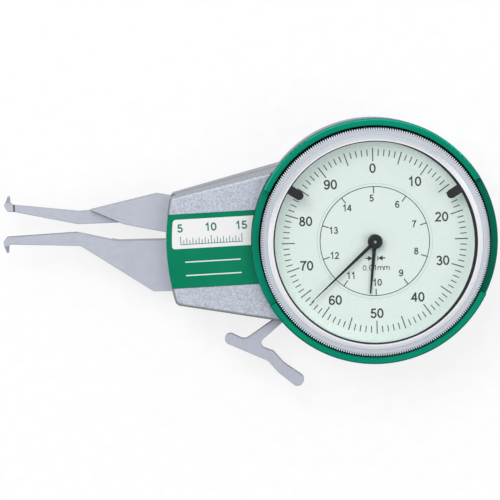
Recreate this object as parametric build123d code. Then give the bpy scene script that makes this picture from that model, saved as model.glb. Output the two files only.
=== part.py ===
from build123d import *
import os
from math import acos, asin, atan2, cos, degrees, hypot, pi, radians, sin, sqrt, tan

# Internal dial caliper gauge, in millimetres.
# The origin is on the back face, on the dial's axis. +X points away from the arms,
# +Y away from the finger lever, +Z out of the dial.
# What surrounds the dial follows window_r. The arms, the lever and all that turns with
# them follow the pivot, which follows nose_front_r. Heights are stacked up from the back.

# Dial window, bezel and collar
window_r = 22.5          # the part of the dial that is seen
bezel_width = 2.8        # from the window out to the tips of the knurl
bezel_lip = 0.9          # over the edge of the crystal
bezel_top_land = 0.35
slope_width = 1.25       # from the window out to the flat band
knurl_depth = 0.45
knurl_teeth = 300
knurl_root = 0.3         # solid ring under the teeth
knurl_lift = 0.3         # knurl above the bezel's lower edge
band_bevel = 0.15
skirt_wall = 0.9
collar_wall = 1.5
bezel_running_gap = 0.05
spacer_ledge = 0.3       # the spacer shows this much inside the window
marker_slot = 0.45
marker_slot_depth = 0.65
retaining_ring_t = 0.3
retaining_ring_w = 1.07
retaining_ring_bite = 0.3
snap_ring_h = 0.4
snap_ring_bite = 0.25
ring_split = 2.4         # gap in the two sprung rings
part_gap = 0.03          # round pieces that are set into others

# Guard ring
finger_gap = 0.3         # knurl to ring
guard_wall = 1.6
guard_foot = 1.3         # bevel under the ring
guard_foot_h = 1.7
guard_edge_fillet = 0.4
guard_recess = 2.0       # depth of the finger recesses
guard_recess_half = 28.5  # degrees either side of the long axis
flange_gap = 0.4
guard_flange_h = 1.0
guard_seat_gap = 0.15

# Body shells
cup_inset = 0.5          # back of the round end, inside the guard ring's outline
nose_front_r = 46.3      # the nose ends in an arc about the dial's axis
nose_corner_depth = 1.8  # the half widths are measured this far behind the front
nose_upper_half = 12.2
nose_lower_half = 13.1
upper_flare = 12.7       # degrees, sides of the nose against X
lower_flare = 12.0
upper_top_half = 11.95   # the same on the front face, where the upper side leans in
upper_top_flare = 11.0
wall_draft = 4.0         # degrees, the other side walls
nose_top_z = 15.0
ceiling = 2.0            # thickness of the nose's front wall
shell_wall = 2.2
upper_corner_fillet = 0.9
lower_corner_fillet = 1.4
nose_edge_fillet = 0.7
seam_z = 6.4             # front shell and back cover meet here
seam_chamfer = 0.15
cover_floor = 2.0
cover_edge_chamfer = 0.4
deck = 0.9               # floor that the guard ring stands on
deck_gap = 0.2           # over the wheels
boss_sink = 0.2          # bosses run this far into the wall behind them
lip = 0.6                # of material round a hole in a boss

# Arms and pivot, with outlines given from the pivot as (x, y, fillet radius)
pivot_inset = 8.1        # behind the nose's front
pivot_y = 2.2
pin_r = 1.6
pin_running_gap = 0.05
bush_wall = 1.0
hub_r = 4.2
arm_half = 2.0           # each arm's blade is half as thick as the pair
arm_lift = 0.2           # arms above the seam
blade_gap = 0.1          # each blade stands back this far from the middle plane
set_back = 0.3           # the movable blade is lower than its heel by this
step_groove_w = 0.28
step_groove_depth = 0.35
step_groove_overrun = 1.0
edge_chamfer = 0.12
tip_ball_r = 0.34
claw_half_width = 0.53
claw_step = 0.3          # claws are thinner than their heels by this
heel = ((-42.45, 10.4), (-43.52, 10.4), (-43.85, 9.7, 0.5), (-43.15, 8.3, 0.7))
heel_step_x = -41.75
blade_lower = ((-41.7, 8.18), (-27.6, 4.62, 2.0), (-18.4, 4.46, 1.0))
blade_upper = ((-24.8, 7.6, 1.0), (-27.2, 7.52, 2.0), (-42.1, 9.8, 0.3))
arm_root = ((-14.3, 3.43), (-8.01, 1.89), (-3.7, 0.75), (0, 0))
arm_shoulder = ((-6.1, 7.2, 1.0), (-6.4, 9.85, 0.4), (-9.7, 10.55, 2.0))
arm_step = ((-24.58, 7.78), (-17.3, 4.23))
upper_claw = ((-42.98, 10.3), (-42.62, 11.89))
fixed_outline = (
    (-43.1, 0.7), (-44.18, 0.7), (-44.3, 1.8, 0.5), (-43.5, 2.83, 0.6), (-27.8, 3.01, 2.0),
    (-18.8, 0.57, 2.0), (-8.1, 0.22), (-4.7, -1.0), (3.0, -5.6, 1.0), (4.4, -7.2, 0.8),
    (4.4, -11.8, 0.8), (-7.9, -11.35), (-11.5, -11.2, 1.0), (-27.2, -0.08, 2.0), (-42.85, 1.13, 0.2))
fixed_relief = ((-19.2, 1.4), (-16.8, 5.8), (-51.8, 5.8), (-51.8, -8.2), (-31.8, -8.2), (-27.3, -3.2))
lower_claw = ((-43.64, 0.8), (-43.59, -0.9))
fixed_arm_hub_gap = 0.8
fixed_screw_spots = ((-3.8, -8.4), (1.9, -9.2))
close_deg = 10.3         # closes the tips to just under 5 mm
open_deg = 3.1           # opens them to just over 15 mm
washer_t = 0.2
clip_t = 0.35
clip_bite = 0.25
clip_w = 0.9             # radial width of the clip, and half its opening
mouth_back = 0.1         # the mouth reaches this far behind the hub's front
mouth_low = -11.65       # sides of the mouth, from the pivot
mouth_high = 8.0
mouth_corner_x = -5.4    # in front of this it is open to the side
slot_gap = 0.25

# Finger lever
lever_outline = (
    (4.8, 0.4, 1.5), (15.7, 0.2, 3.0), (22.9, -7.7, 4.0), (22.6, -14.8, 3.0), (18.6, -18.5, 6.0),
    (10.7, -24.6, 1.2), (14.45, -26.2, 1.2), (16.7, -29.0, 6.0), (21.5, -32.65, 1.3),
    (19.6, -34.95, 1.3), (15.2, -31.05, 6.0), (13.1, -28.35, 2.0), (3.35, -23.5, 1.2),
    (4.5, -21.2, 1.2), (8.2, -23.25, 1.8), (17.2, -17.65, 1.5), (15.6, -11.7, 5.0),
    (9.7, -6.0, 3.0), (4.8, -4.0, 1.5))
lever_neck = (17.9, -18.1)   # where it leaves the body
lever_slot_half = 2.6

# Tail of the movable arm, which carries lever and gear sector
tail_angle = -12.0       # degrees, about the pivot
tail_half_width = 3.3
tail_end_r = 16.4
tail_end_fillet = 1.5
tail_screw_radii = (7.2, 13.2)
spring_pin_radius = 10.2
spring_pin_r = 0.5
sector_t = 1.0
sector_foot_half = 2.6
sector_foot_start = 5.0

# Screws and pins
screw_r = 1.0
thread_gap = 0.02
head_r = 1.7
head_h = 1.0
head_gap = 0.1
head_recess = 0.2
slot_w = 0.5
slot_depth = 0.4
screw_end_gap = 0.2
small_screw_r = 0.6
small_head_r = 1.05
small_head_h = 0.7
pillar_screw_length = 3.0
lug_screw_length = 2.3
column_r = 2.3
column_sink = 0.55       # screw columns stand this far into the side walls
nose_column_x = 8.7      # from the pivot
cup_column_angle = 50.0
stop_pin_r = 1.0
stop_pin_radius = 14.0   # from the pivot
stop_gap = 0.08
stop_top_gap = 0.4
post_r = 0.8
post_radius = 7.0
post_angle = -110.0
post_top_gap = 0.5
pin_seat = 1.2           # depth of the pins in the cover's floor
pin_boss_h = 1.2
pin_boss_wall = 0.8

# Return spring, a torsion coil round the pivot pin
coil_r = 2.6
wire_r = 0.22
coil_gap = 0.2           # over the cover's boss and under the clip
coil_whole_turns = 3
cover_boss_r = 2.3
cover_boss_h = 1.9
leg_gap = 0.05
leg_overhang = 1.0

# Gear train, with modules that follow from the places of the arbors
pressure_angle = 20.0
first_arbor_share = 0.52  # of window_r, from the centre
first_arbor_angle = 141.4
backlash_angle = -40.0   # degrees, direction of the backlash arbor from the centre
sector_teeth = 226
first_pinion_teeth = 10
wheel_teeth = 120
centre_pinion_teeth = 10
backlash_wheel_teeth = 64
counter_drive_teeth = 24
counter_wheel_teeth = 20
profile_shift = 0.42     # pinion out, wheel in, so that few teeth aren't undercut
tooth_play = 0.12        # of the module, off each tooth's width
wheel_t = 0.8
pinion_overlap = 0.3     # a pinion is this much longer than its wheel, each side
sector_rim = 1.6
sector_margin = 2.0      # degrees of teeth past each end of the travel
sector_side = 3.5        # degrees of plate past each end of the travel
sector_window_r = 17.5
sector_window_angles = (-17.5, -11.0, 1.0, -1.0)  # from the line to the first arbor
crossing_count = 5
wheel_rim = 1.3
wheel_hub = 1.2
spoke_w = 1.0

# Arbors
pivot_end_r = 0.4
pivot_end_gap = 0.04
arbor_r = 0.8
thin_arbor_r = 0.6
spindle_r = 0.55
spindle_tip_r = 0.3      # in the hub of the long hand
pipe_wall = 0.5
end_shake = 0.1

# Movement plates
rear_plate_lift = 2.2    # over the cover's floor
rear_plate_t = 1.2
rear_plate_margin = 2.8
front_plate_gap = 0.5    # over the counter wheels
front_plate_t = 1.0
front_plate_margin = 0.1
plate_bush_r = 1.3
pipe_bush_wall = 0.7
pillar_r = 1.4
pillar_margin = 1.6
pillar_angles = (330.0, 92.0, 248.0)
lug_margin = 1.4
lug_r = 1.9
lug_h = 1.6
lug_angles = (60.0, 200.0, 290.0)

# Heights above the front plate
stack_gap = 0.1          # between parts that pass each other
dial_t = 0.6
short_hand_lift = 0.4
long_hand_lift = 0.65
hand_end = 0.15          # the spindle stands out of the hub by this
crystal_gap = 0.5
crystal_t = 1.1
bezel_rise = 0.8
slope_drop = 1.25
band_drop = 0.45
guard_drop = 0.8

# Name panel
panel_half_width = 8.2
panel_depth = 0.6
panel_t = 0.5
panel_gap = 0.08
panel_front_land = 0.15

# Hands
long_hand_inset = 3.05   # short of the window's edge
long_hand_angle = 220.6
short_hand_length = 11.65
short_hand_angle = 262.0
hand_t = 0.22
hub_hand_r = 1.65
hub_hand_h = 1.0
short_hub_r = 1.6
hand_root_half = 0.45
long_tip_half = 0.06
short_tip_half = 0.17
dial_hole_gap = 0.35

# Tolerance markers
marker_angles = {"marker_left": 145.0, "marker_right": 29.7}
marker_half_width = 1.0
marker_reach = 3.7       # inward from the window's edge
marker_t = 0.35
marker_gap = 0.05
marker_foot_half = 1.6

# Hairspring
hair_inner_r = 1.0
hair_step = 0.42
hair_half_turns = 10
hair_t = 0.12
hair_h = 0.6
hair_lift = 1.6
hair_stud_r = 0.5

# Places worked out from the sizes above
far = 200.0
BASE = (Align.CENTER, Align.CENTER, Align.MIN)
centre = (0.0, 0.0)
pivot = (pivot_inset - nose_front_r, pivot_y)
nose_corner_x = nose_corner_depth - nose_front_r

knurl_r = window_r + bezel_width
root_r = knurl_r - knurl_depth
bezel_bore_r = window_r + bezel_lip
collar_r = root_r - skirt_wall - bezel_running_gap
collar_bore_r = collar_r - collar_wall
marker_slot_r = window_r + marker_slot_depth
guard_bore_r = knurl_r + finger_gap
guard_r = guard_bore_r + guard_wall
guard_flange_r = collar_r + flange_gap
cup_r = guard_r - cup_inset
rear_plate_r = collar_bore_r - rear_plate_margin
pillar_radius = rear_plate_r - pillar_margin
lug_radius = collar_bore_r - lug_margin
pipe_r = spindle_r + pin_running_gap + pipe_wall

arm_z0 = seam_z + arm_lift
arm_mid = arm_z0 + arm_half
arm_z1 = arm_mid + arm_half
sector_z0 = arm_z1
sector_z1 = sector_z0 + sector_t
first_pinion_z0 = sector_z0 - pinion_overlap
wheel_z0 = sector_z1 + pinion_overlap
wheel_z1 = wheel_z0 + wheel_t
counter_z0 = wheel_z1 + 2 * pinion_overlap
deck_z = wheel_z1 + deck_gap
shoulder_z = deck_z + deck
ceiling_z = nose_top_z - ceiling
rear_plate_z = cover_floor + rear_plate_lift
front_plate_z = counter_z0 + wheel_t + front_plate_gap
collar_top_z = front_plate_z + front_plate_t + small_head_h + stack_gap
retaining_z0 = collar_top_z + stack_gap
dial_z0 = retaining_z0 + retaining_ring_t
dial_top_z = dial_z0 + dial_t
short_hand_z = dial_top_z + short_hand_lift
long_hand_z = short_hand_z + long_hand_lift
spindle_top_z = long_hand_z + hub_hand_h + hand_end
crystal_z0 = spindle_top_z + crystal_gap
crystal_top_z = crystal_z0 + crystal_t
bezel_top_z = crystal_top_z + bezel_rise
band_z = bezel_top_z - slope_drop
knurl_top_z = band_z - band_drop
guard_top_z = knurl_top_z - guard_drop
bezel_z0 = shoulder_z + guard_flange_h + end_shake
snap_z0 = bezel_z0 + snap_ring_h
hair_z = rear_plate_z + rear_plate_t + hair_lift


def polar(radius, angle, at=centre):
    a = radians(angle)
    return (at[0] + radius * cos(a), at[1] + radius * sin(a))


def direction(start, end):
    return degrees(atan2(end[1] - start[1], end[0] - start[0]))


def distance(start, end):
    return hypot(end[0] - start[0], end[1] - start[1])


def from_pivot(points):
    return [(p[0] + pivot[0], p[1] + pivot[1], *p[2:]) for p in points]


first_arbor = polar(first_arbor_share * window_r, first_arbor_angle)
mesh_pivot = distance(pivot, first_arbor)
mesh_centre = distance(centre, first_arbor)
sector_module = 2 * mesh_pivot / (sector_teeth + first_pinion_teeth)
wheel_module = 2 * mesh_centre / (wheel_teeth + centre_pinion_teeth)
counter_module = 2 * mesh_centre / (counter_drive_teeth + counter_wheel_teeth)
mesh_backlash = wheel_module * (backlash_wheel_teeth + centre_pinion_teeth) / 2
backlash_spot = polar(mesh_backlash, backlash_angle)


def disc(radius, z0, z1, at=centre):
    return Pos(at[0], at[1], z0) * Cylinder(radius, z1 - z0, align=BASE)


def tube(outer, inner, z0, z1, at=centre):
    return disc(outer, z0, z1, at) - disc(inner, z0 - 1, z1 + 1, at)


def outline(corners):
    """A face from corners given as (x, y) or (x, y, fillet radius)."""
    points = [(c[0], c[1]) for c in corners]
    radii = [c[2] if len(c) > 2 else 0 for c in corners]
    return make_face(FilletPolyline(*points, radius=radii, close=True))


def slab(face, z0, z1):
    return extrude(Pos(0, 0, z0) * face, z1 - z0, dir=(0, 0, 1))


def block(x0, x1, y0, y1, z0, z1):
    return Pos(x0, y0, z0) * Box(x1 - x0, y1 - y0, z1 - z0, align=(Align.MIN,) * 3)


def turned(profile):
    """A ring or disc turned about the dial's axis from (radius, z) corners."""
    return revolve(make_face(Polyline(*[(r, 0, z) for r, z in profile], close=True)), Axis.Z)


def edges_at(shape, z):
    return [e for e in shape.edges() if abs(e.center().Z - z) < 0.001]


def eased(plate, *heights):
    """A plate with its sharp edges broken at the given heights."""
    for z in heights:
        plate = chamfer(edges_at(plate, z), edge_chamfer)
    return plate


def screw(at, z_head, length, r=screw_r, head=head_r, head_height=head_h, down=True):
    """A slotted screw whose head's outer face is at z_head."""
    body = disc(head, -head_height, 0) + disc(r, -head_height - length, -head_height / 2)
    body -= Pos(0, 0, -slot_depth / 2) * Box(3 * head, slot_w, slot_depth)
    if not down:
        body = Rot(180, 0, 0) * body
    return Pos(at[0], at[1], z_head) * body


def group(solids):
    return Compound(children=list(solids))


# Body shells

def nose_side(x, upper=True):
    """Y of the nose's side at the back face."""
    if upper:
        return nose_upper_half + (x - nose_corner_x) * tan(radians(upper_flare))
    return -nose_lower_half - (x - nose_corner_x) * tan(radians(lower_flare))


def nose_plan(z=0.0, inset=0.0):
    """The nose's section at height z, run past its front arc and in to the dial's axis."""
    level = z / nose_top_z
    flare = radians(upper_flare + level * (upper_top_flare - upper_flare))
    slant = radians(lower_flare)
    upper = nose_upper_half + level * (upper_top_half - nose_upper_half) - inset / cos(flare)
    lower = nose_lower_half - (z * tan(radians(wall_draft)) + inset) / cos(slant)
    run_in, run_out = -nose_corner_x, nose_corner_depth - nose_front_r / 5
    return make_face(Polyline(
        (nose_corner_x + run_out, -lower - run_out * tan(slant)), (0, -lower - run_in * tan(slant)),
        (0, upper + run_in * tan(flare)), (nose_corner_x + run_out, upper + run_out * tan(flare)),
        close=True))


def nose_solid():
    nose = loft([nose_plan(), Pos(0, 0, nose_top_z) * nose_plan(nose_top_z)], ruled=True)
    nose &= disc(nose_front_r, -1, nose_top_z + 1)
    for side, radius in ((1, upper_corner_fillet), (-1, lower_corner_fillet)):
        corner = [e for e in nose.edges() if e.bounding_box().size.Z > nose_top_z / 2
                  and e.center().X < nose_corner_x / 2 and e.center().Y * side > 0]
        nose = fillet(corner, radius)
    rim = [e for e in edges_at(nose, nose_top_z) if e.center().X < nose_corner_x / 9]
    return fillet(rim, nose_edge_fillet)


def envelope():
    """Both shells as one block, before it is split at the seam."""
    cup_top_r = cup_r - shoulder_z * tan(radians(wall_draft))
    cup = Cone(cup_r, cup_top_r, shoulder_z, align=BASE)
    return nose_solid() - disc(guard_r + guard_seat_gap, shoulder_z, nose_top_z + 1) + cup


def cavity(z0, z1, cup_z1):
    nose = slab(nose_plan(inset=shell_wall), z0, z1) & disc(nose_front_r - shell_wall, z0, z1)
    nose -= disc(cup_r - shell_wall, cup_z1, z1 + 1)
    return nose + disc(cup_r - shell_wall, z0, cup_z1)


def half_body(body, z0, z1):
    return body & block(-far, far, -far, far, z0, z1)


def nose_column_spots():
    x = pivot[0] + nose_column_x
    inset = shell_wall + column_r - column_sink
    return [(x, nose_side(x) - inset), (x, nose_side(x, upper=False) + inset)]


def cup_column_spots():
    radius = cup_r - shell_wall - column_r + column_sink / 5
    return [polar(radius, angle) for angle in (cup_column_angle, -cup_column_angle)]


def cover_screw_spots():
    return nose_column_spots() + cup_column_spots()


def lug_spots():
    return [polar(lug_radius, angle) for angle in lug_angles]


def front_housing(body):
    shell = half_body(body, seam_z, far)
    shell = chamfer(edges_at(shell, seam_z), seam_chamfer)
    shell -= cavity(seam_z - 1, ceiling_z, deck_z)
    shell += tube(collar_r, collar_bore_r, deck_z, collar_top_z)
    shell -= disc(collar_bore_r, deck_z - 1, collar_top_z + 1)
    groove_r = collar_r - snap_ring_bite - part_gap
    shell -= tube(collar_r + 1, groove_r, snap_z0, snap_z0 + snap_ring_h + 2 * part_gap)
    shell += housing_bosses()
    shell -= housing_holes()
    shell -= mouth()
    shell -= lever_slot()
    return shell - panel_pocket()


def housing_bosses():
    """Columns, lugs and bosses inside the front shell, cut to stay in its walls."""
    bosses = disc(hub_r - lip, arm_z1 + washer_t, ceiling_z + boss_sink, pivot)
    for spot in nose_column_spots():
        bosses += disc(column_r, seam_z, ceiling_z + boss_sink, spot)
    for spot in cup_column_spots():
        bosses += disc(column_r, seam_z, sector_z1, spot) & disc(cup_r - shell_wall + lip, 0, far)
    for spot in lug_spots():
        lug = disc(lug_r, front_plate_z - lug_h, front_plate_z, spot)
        bosses += lug & disc(collar_bore_r + lip, 0, far)
    for spot in from_pivot(fixed_screw_spots):
        bosses += disc(head_r + 1, arm_z1, ceiling_z + boss_sink, spot)
    return bosses


def housing_holes():
    """Blind holes for the pivot pin and for all screws that end in the front shell."""
    holes = disc(pin_r, seam_z, ceiling_z + 0.45 * ceiling, pivot)
    for spot in from_pivot(fixed_screw_spots):
        holes += disc(screw_r + thread_gap, arm_z0, ceiling_z + 0.25 * ceiling, spot)
    for spot in cover_screw_spots():
        holes += disc(screw_r + thread_gap, seam_z - 1, cover_screw_end() + screw_end_gap, spot)
    for spot in lug_spots():
        holes += disc(small_screw_r + thread_gap, front_plate_z - lug_h - 1, front_plate_z + 1, spot)
    return holes


def mouth():
    """The arms leave the nose here. Its upper corner is open to the side for the arm's shoulder."""
    x, y = pivot
    z0, z1 = seam_z - 1, arm_z1 + slot_gap
    front = block(-far, x - hub_r + mouth_back, y + mouth_low, y + mouth_high, z0, z1)
    return front + block(-far, x + mouth_corner_x, y, y + far, z0, z1)


def lever_slot():
    """A window in the wall, wide enough for the travel of the lever's neck."""
    neck = from_pivot([lever_neck])[0]
    window = block(0, far, -lever_slot_half, lever_slot_half, seam_z - 1, arm_z1 + slot_gap)
    return Rot(0, 0, direction(centre, neck)) * window


def panel_plan(grow=0.0):
    strip = Pos(-far / 2, 0) * Rectangle(far, 2 * (panel_half_width + grow))
    return (strip & Circle(nose_front_r + 1)) - Circle(guard_r + guard_seat_gap)


def panel_pocket():
    return slab(panel_plan(panel_gap), nose_top_z - panel_depth, nose_top_z + 1)


def name_panel():
    plate = slab(panel_plan(), nose_top_z - panel_depth, nose_top_z - panel_depth + panel_t)
    return plate & disc(nose_front_r - panel_front_land, 0, nose_top_z)


def back_cover(body):
    cover = half_body(body, 0, seam_z)
    cover = chamfer(edges_at(cover, 0), cover_edge_chamfer)
    cover = chamfer(edges_at(cover, seam_z), seam_chamfer)
    cover -= cavity(cover_floor, seam_z + 1, seam_z + 1)
    floor = cover_floor - boss_sink
    for spot in cover_screw_spots():
        cover += disc(column_r, floor, seam_z, spot)
    cover &= half_body(body, 0, seam_z)
    cover += disc(cover_boss_r, floor, cover_floor + cover_boss_h, pivot)
    cover -= disc(pin_r, cover_floor - pin_seat, seam_z, pivot)
    for spot in cover_screw_spots():
        cover -= disc(screw_r + head_gap, -1, seam_z + 1, spot)
        cover -= disc(head_r + head_gap, -1, head_h + head_recess, spot)
    seats = [(spot, stop_pin_r) for spot in stop_pin_spots()] + [(post_spot(), post_r)]
    for spot, radius in seats:
        cover += disc(radius + pin_boss_wall, floor, cover_floor + pin_boss_h, spot)
        cover -= disc(radius, cover_floor - pin_seat, seam_z, spot)
    return cover


def cover_screw_end():
    return sector_z1 - 1


def cover_screws():
    length = cover_screw_end() - head_recess - head_h
    return group(screw(spot, head_recess, length, down=False) for spot in cover_screw_spots())


# Arms

def tip_claw(base, tip, z0, z1):
    """A claw that leans from the blade's own half to the middle plane, with a ball tip."""
    side = 1 if tip[1] > base[1] else -1
    ball = (tip[0], tip[1] - side * tip_ball_r, arm_mid)
    root = Plane(origin=(base[0], base[1], (z0 + z1) / 2), z_dir=(0, side, 0), x_dir=(1, 0, 0))
    end = Plane(origin=ball, z_dir=(0, side, 0), x_dir=(1, 0, 0))
    sections = [root * Rectangle(2 * claw_half_width, z1 - z0),
                end * Rectangle(1.8 * tip_ball_r, 1.5 * tip_ball_r)]
    return loft(sections) + Pos(*ball) * Sphere(tip_ball_r)


def groove(start, end, z0, z1):
    """A narrow channel on the right of the way from start to end."""
    strip = Pos(distance(start, end) / 2, -step_groove_w / 2) * Rectangle(
        distance(start, end) + 2 * step_groove_overrun, step_groove_w)
    return slab(Pos(start[0], start[1]) * Rot(0, 0, direction(start, end)) * strip, z0, z1)


def movable_arm():
    shoulder = [(0, hub_r), *arm_shoulder]
    blade = eased(slab(outline(from_pivot([*heel, *blade_lower, *arm_root, *shoulder, *blade_upper])),
                       arm_z0, arm_mid - blade_gap - set_back), arm_z0, arm_mid - blade_gap - set_back)
    full = outline(from_pivot([*arm_step, *arm_root, *shoulder]))
    arm = blade + eased(slab(full, arm_z0, arm_z1), arm_z0, arm_z1)
    arm += disc(hub_r, arm_z0, arm_z1, pivot)
    arm += movable_heel()
    low = arm_mid - blade_gap - set_back - step_groove_depth
    arm -= groove(*from_pivot(arm_step), low, arm_z1)
    heel_line = from_pivot([(heel_step_x, 0), (heel_step_x, blade_upper[-1][1])])
    arm -= groove(*heel_line, low, arm_z1)
    claw_base, claw_tip = from_pivot(upper_claw)
    arm += tip_claw(claw_base, claw_tip, arm_z0 + claw_step, arm_mid - blade_gap)
    arm += slab(tail_plan(), arm_z0, arm_mid)
    arm -= disc(pin_r + pin_running_gap + bush_wall, arm_z0 - 1, arm_z1 + 1, pivot)
    for spot in tail_screw_spots():
        arm -= disc(screw_r + thread_gap, arm_z0 - 1, arm_mid + 1, spot)
    return arm - disc(spring_pin_r, arm_z0 - 1, arm_mid + 1, spring_pin_spot())


def movable_heel():
    """The raised end of the blade, under the claw."""
    y0, y1 = blade_lower[0][1], blade_upper[-1][1]
    face = outline(from_pivot([*heel, (heel_step_x, y0), (heel_step_x, y1), blade_upper[-1]]))
    return eased(slab(face, arm_z0, arm_mid - blade_gap), arm_mid - blade_gap)


def tail_plan():
    along = [(0, -tail_half_width), (tail_end_r, -tail_half_width, tail_end_fillet),
             (tail_end_r, tail_half_width, tail_end_fillet), (0, tail_half_width)]
    return Pos(*pivot) * Rot(0, 0, tail_angle) * outline(along)


def tail_screw_spots():
    return [polar(radius, tail_angle, pivot) for radius in tail_screw_radii]


def spring_pin_spot():
    return polar(spring_pin_radius, tail_angle, pivot)


def fixed_arm():
    arm = eased(slab(outline(from_pivot(fixed_outline)), arm_z0, arm_z1), arm_z1)
    arm -= disc(hub_r + fixed_arm_hub_gap, arm_z0 - 1, arm_z1 + 1, pivot)
    arm -= slab(outline(from_pivot(fixed_relief)), arm_z0 - 1, arm_mid + blade_gap)
    claw_base, claw_tip = from_pivot(lower_claw)
    arm += tip_claw(claw_base, claw_tip, arm_mid + blade_gap, arm_z1 - claw_step)
    for spot in from_pivot(fixed_screw_spots):
        arm -= disc(screw_r + head_gap, arm_z0 - 1, arm_z1 + 1, spot)
        arm -= disc(head_r + head_gap, arm_z0 - 1, arm_z0 + head_h, spot)
    return arm


def fixed_arm_screws():
    length = ceiling_z + 0.25 * ceiling - stack_gap - arm_z0 - head_h
    return group(screw(spot, arm_z0, length, down=False) for spot in from_pivot(fixed_screw_spots))


def finger_lever():
    plate = eased(slab(outline(from_pivot(lever_outline)), arm_mid, arm_z1), arm_mid, arm_z1)
    for spot in tail_screw_spots():
        plate -= disc(screw_r + head_gap, arm_mid - 1, arm_z1 + 1, spot)
    return plate


def arm_screws():
    z = sector_z1 + head_h
    length = sector_z1 - arm_z0 - screw_end_gap
    return group(screw(spot, z, length) for spot in tail_screw_spots())


def pivot_pin():
    pin = disc(pin_r, cover_floor - pin_seat + pin_running_gap, ceiling_z + 0.4 * ceiling, pivot)
    return pin - tube(pin_r + 1, pin_r - clip_bite, arm_z0 - clip_t - part_gap, arm_z0, pivot)


def pivot_bush():
    bore = pin_r + pin_running_gap
    return tube(bore + bush_wall, bore, arm_z0, arm_z1, pivot)


def pivot_washer():
    return tube(hub_r - lip - boss_sink, pin_r + pin_running_gap, arm_z1, arm_z1 + washer_t, pivot)


def pivot_clip():
    """A C-shaped clip under the arm, open towards the nose."""
    ring = tube(pin_r + clip_w, pin_r - clip_bite, arm_z0 - clip_t, arm_z0, pivot)
    x, y = pivot
    return ring - block(x - hub_r, x, y - clip_w, y + clip_w, arm_z0 - 1, arm_z0 + 1)


def spring_pin():
    return disc(spring_pin_r, cover_floor + cover_boss_h + coil_gap, arm_mid, spring_pin_spot())


def post_spot():
    return polar(post_radius, post_angle, pivot)


def spring_post():
    return disc(post_r, cover_floor - pin_seat, arm_z0 - post_top_gap, post_spot())


def return_spring():
    """A coil round the pivot. One leg bears on the post, the other on the arm's pin."""
    z0 = cover_floor + cover_boss_h + coil_gap + wire_r
    top = arm_z0 - clip_t - coil_gap - wire_r
    reach = coil_r + wire_r + leg_gap
    start = post_angle + degrees(acos((reach + post_r) / post_radius))
    end = tail_angle - degrees(acos((reach + spring_pin_r) / spring_pin_radius))
    turns = coil_whole_turns + (end - start) / 360
    path = Helix((top - z0) / turns, top - z0, coil_r)
    wire = sweep(Plane(origin=path @ 0, z_dir=path % 0) * Circle(wire_r), path=path)
    coil = Pos(*pivot, z0) * Rot(0, 0, start) * wire
    coil += coil_leg(start, -1, z0, post_radius)
    return coil + coil_leg(end, 1, top, spring_pin_radius)


def coil_leg(angle, way, z, radius):
    """A straight leg, tangent to the coil at the given angle, out past the given radius."""
    foot = polar(coil_r, angle, pivot)
    run = polar(1, angle + 90 * way)
    length = sqrt(radius ** 2 - coil_r ** 2) + leg_overhang
    return Plane(origin=(*foot, z), z_dir=(*run, 0)) * Cylinder(wire_r, length, align=BASE)


def stop_pin_spots():
    """Where the tail's edges meet the pins at the two ends of the travel."""
    aside = degrees(asin((tail_half_width + stop_pin_r + stop_gap) / stop_pin_radius))
    opened = tail_angle - aside - open_deg
    closed = tail_angle + aside + close_deg
    return [polar(stop_pin_radius, angle, pivot) for angle in (opened, closed)]


def stop_pins():
    top = arm_mid - stop_top_gap
    return group(disc(stop_pin_r, cover_floor - pin_seat, top, spot) for spot in stop_pin_spots())


# Gears

def tooth_corners(teeth, module, shift, play):
    """(radius, half angle) pairs up one flank of an involute tooth."""
    pitch_r = module * teeth / 2
    alpha = radians(pressure_angle)
    base_r = pitch_r * cos(alpha)
    tip = pitch_r + module * (0.95 + shift * 0.9)
    root = pitch_r - module * (1.25 - shift)
    half = (pi / 2 + 2 * shift * tan(alpha)) / teeth - play * module / (2 * pitch_r)
    steps = 5 if teeth < 15 else 2
    corners = []
    for k in range(steps):
        radius = root + (tip - root) * k / (steps - 1)
        lean = acos(min(1, base_r / radius))
        corners.append((radius, half + (tan(alpha) - alpha) - (tan(lean) - lean)))
    return corners


def gear_points(teeth, module, shift, phase, first=0, last=None):
    """Outline points of the teeth, anticlockwise. phase is one tooth's angle in degrees."""
    flank = tooth_corners(teeth, module, shift, tooth_play)
    points = []
    for k in range(first, teeth if last is None else last + 1):
        middle = radians(phase) + 2 * pi * k / teeth
        points += [(r * cos(middle - a), r * sin(middle - a)) for r, a in flank]
        points += [(r * cos(middle + a), r * sin(middle + a)) for r, a in reversed(flank)]
    return points


def gear_face(teeth, module, shift, phase, at):
    return Pos(*at) * make_face(Polyline(*gear_points(teeth, module, shift, phase), close=True))


def meshing_phase(line, driver_phase, driver_teeth, driven_teeth):
    """The angle of a tooth of the driven gear, for the line from driver to driven."""
    off = driver_phase - line
    return line + 180 - off * driver_teeth / driven_teeth + 180 / driven_teeth


to_first = direction(pivot, first_arbor)
to_centre = direction(first_arbor, centre)
first_pinion_phase = meshing_phase(to_first, to_first, sector_teeth, first_pinion_teeth)
centre_phase = meshing_phase(to_centre, to_centre, wheel_teeth, centre_pinion_teeth)
backlash_phase = meshing_phase(backlash_angle, centre_phase, centre_pinion_teeth, backlash_wheel_teeth)
counter_phase = meshing_phase(to_centre, to_centre, counter_drive_teeth, counter_wheel_teeth)


def crossings(outer, inner):
    """Windows between the spokes of a wheel."""
    ring = Circle(outer) - Circle(inner)
    for k in range(crossing_count):
        ring -= Rot(0, 0, 360 * k / crossing_count) * Pos(outer / 2, 0) * Rectangle(outer, spoke_w)
    return ring


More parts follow.
